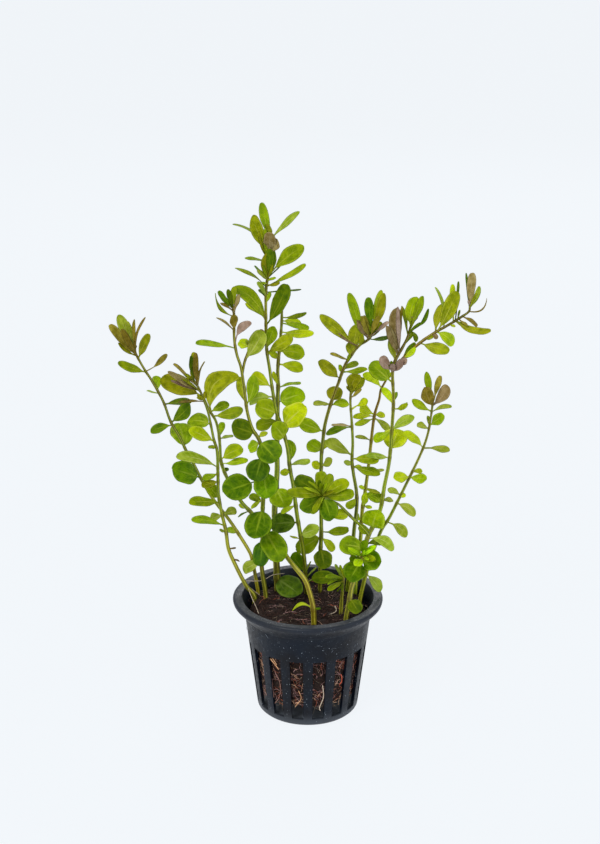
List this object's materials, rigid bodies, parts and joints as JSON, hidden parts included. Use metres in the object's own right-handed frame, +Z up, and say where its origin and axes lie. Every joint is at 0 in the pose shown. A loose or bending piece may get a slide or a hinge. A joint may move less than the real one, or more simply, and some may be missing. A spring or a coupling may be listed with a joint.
{
  "type": "potted dwarf rotala aquarium plant",
  "caption": "Bunch of slender aquarium stem plants with small rounded and pointed leaves, planted in a coir plug held in a black slotted net pot.",
  "frame": {"origin": "centre of the underside of the pot's base", "axes": "+Z up along the pot's axis, -Y towards the side seen in the picture, +X to the viewer's right"},
  "size_m": [0.1314, 0.055, 0.1901],
  "materials": {
    "black_plastic": "satin black, finely speckled",
    "coir": "rough brown coconut fibre",
    "stem_green": "smooth olive green to brown stem",
    "leaf_green": "soft green leaf with a pale midrib"
  },
  "bodies": {
    "root": {"coir_plug": "coir", "leaf_far_left_1": "leaf_green", "leaf_far_left_2": "leaf_green", "leaf_front_branch_1": "leaf_green", "leaf_front_branch_2": "leaf_green", "leaf_front_branch_3": "leaf_green", "leaf_left_1": "leaf_green", "leaf_left_2": "leaf_green", "leaf_left_front_1": "leaf_green", "leaf_left_front_2": "leaf_green", "leaf_mid_left_1": "leaf_green", "leaf_mid_left_2": "leaf_green", "leaf_mid_left_3": "leaf_green", "leaf_mid_left_4": "leaf_green", "leaf_mid_left_5": "leaf_green", "leaf_mid_left_6": "leaf_green", "leaf_mid_left_7": "leaf_green", "leaf_mid_left_8": "leaf_green", "leaf_mid_left_fork_1": "leaf_green", "leaf_mid_right_1": "leaf_green", "leaf_mid_right_2": "leaf_green", "leaf_mid_right_3": "leaf_green", "leaf_mid_right_4": "leaf_green", "leaf_mid_right_5": "leaf_green", "leaf_right_main_1": "leaf_green", "leaf_right_main_2": "leaf_green", "leaf_right_main_3": "leaf_green", "leaf_right_main_4": "leaf_green", "leaf_right_main_5": "leaf_green", "leaf_right_main_6": "leaf_green", "leaf_right_main_7": "leaf_green", "leaf_right_reach_1": "leaf_green", "leaf_tall_1": "leaf_green", "leaf_tall_2": "leaf_green", "leaf_tall_3": "leaf_green", "leaf_tall_4": "leaf_green", "leaf_tall_5": "leaf_green", "leaf_tall_6": "leaf_green", "leaf_tall_back_1": "leaf_green", "leaf_tall_back_2": "leaf_green", "leaf_tall_back_3": "leaf_green", "leaf_tall_back_4": "leaf_green", "net_pot": "black_plastic", "stem_far_left": "stem_green", "stem_far_right": "stem_green", "stem_front_branch": "stem_green", "stem_left": "stem_green", "stem_left_front": "stem_green", "stem_low_shoot": "stem_green", "stem_mid_left": "stem_green", "stem_mid_left_fork": "stem_green", "stem_mid_right": "stem_green", "stem_right_back": "stem_green", "stem_right_crown": "stem_green", "stem_right_main": "stem_green", "stem_right_reach": "stem_green", "stem_right_slim": "stem_green", "stem_tall": "stem_green", "stem_tall_back": "stem_green"}
  },
  "joints": []
}
